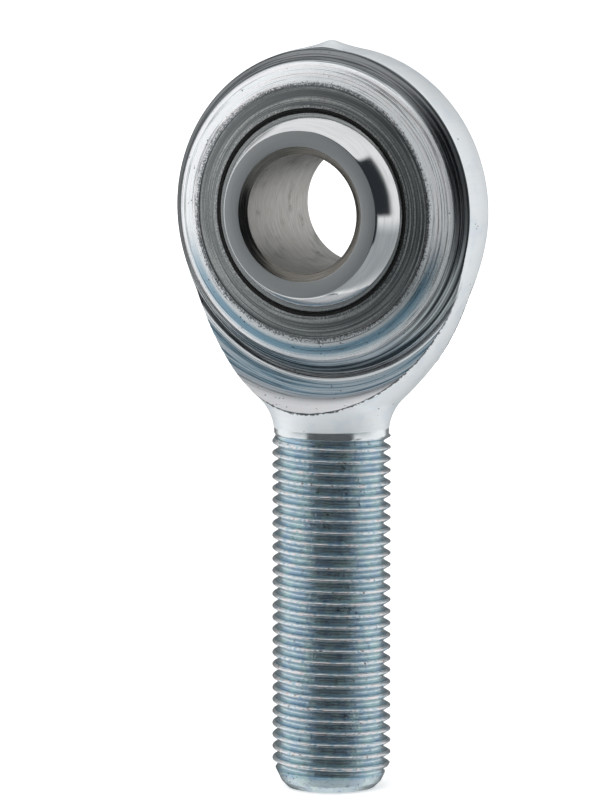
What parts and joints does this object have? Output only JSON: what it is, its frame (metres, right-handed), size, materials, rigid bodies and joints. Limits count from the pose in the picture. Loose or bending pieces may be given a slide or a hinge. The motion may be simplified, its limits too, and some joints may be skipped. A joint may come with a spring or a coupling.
{
  "type": "rod end bearing",
  "caption": "Rod end bearing: a bored ball swivels in a lined race staked into the eye of a turned body with a left-hand threaded shank.",
  "frame": {"origin": "centre of the ball, on the axis of its bore and on the axis of the shank", "axes": "+Z from the shank towards the eye, so the shank points down along -Z; Y along the bore; X across"},
  "size_m": [0.0348, 0.0158, 0.0803],
  "materials": {
    "zinc_body": "bright zinc plate with a pale blue clear chromate",
    "race_steel": "finely turned bare steel",
    "liner_black": "matt woven low-friction liner",
    "ball_chrome": "hard chrome with ground end faces"
  },
  "bodies": {
    "housing": {"body": "zinc_body", "race": "race_steel", "liner": "liner_black"},
    "ball": {"ball": "ball_chrome"}
  },
  "joints": [
    {"name": "ball_tilt", "type": "hinge", "parent": "housing", "child": "ball", "pos_m": [0, 0, 0], "axis": [1, 0, 0], "range_deg": [-12, 12]}
  ]
}
